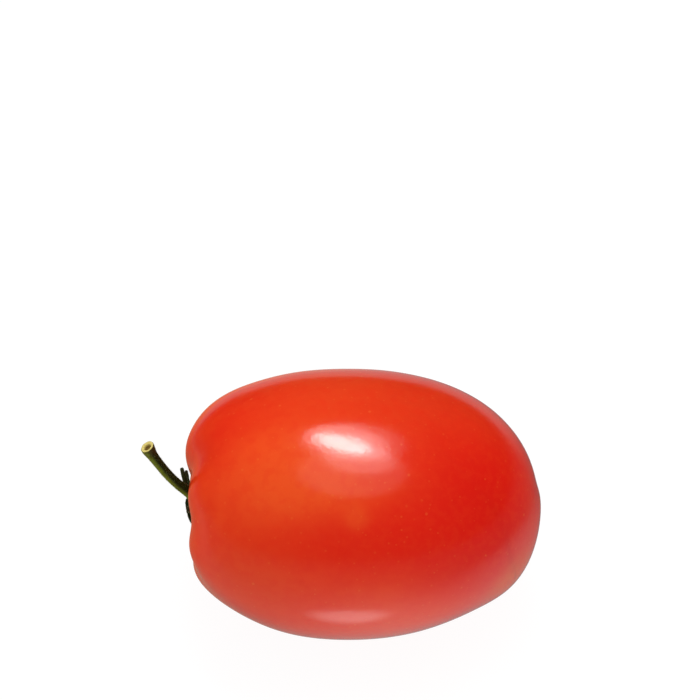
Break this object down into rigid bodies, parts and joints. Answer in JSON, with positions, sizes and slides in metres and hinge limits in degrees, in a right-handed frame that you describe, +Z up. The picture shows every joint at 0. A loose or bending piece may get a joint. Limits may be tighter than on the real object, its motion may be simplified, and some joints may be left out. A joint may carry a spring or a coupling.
{
  "type": "plum tomato",
  "caption": "Ripe plum tomato lying on its side, with a glossy red skin, a small green calyx in its stem cavity and a short curved piece of stem.",
  "frame": {"origin": "middle of the small flat spot on the underside, on which the fruit rests", "axes": "+X along the fruit from its stem end to its blossom end, +Z up from the surface it rests on"},
  "size_m": [0.076, 0.052, 0.0514],
  "materials": {
    "skin": "smooth, waxy, glossy red skin with tiny pale specks",
    "sepal": "dull dark green, drying leaf",
    "stalk": "dull olive green, finely grooved, with a pale broken end"
  },
  "bodies": {
    "root": {"fruit": "skin", "calyx": "sepal", "stem": "stalk"}
  },
  "joints": []
}
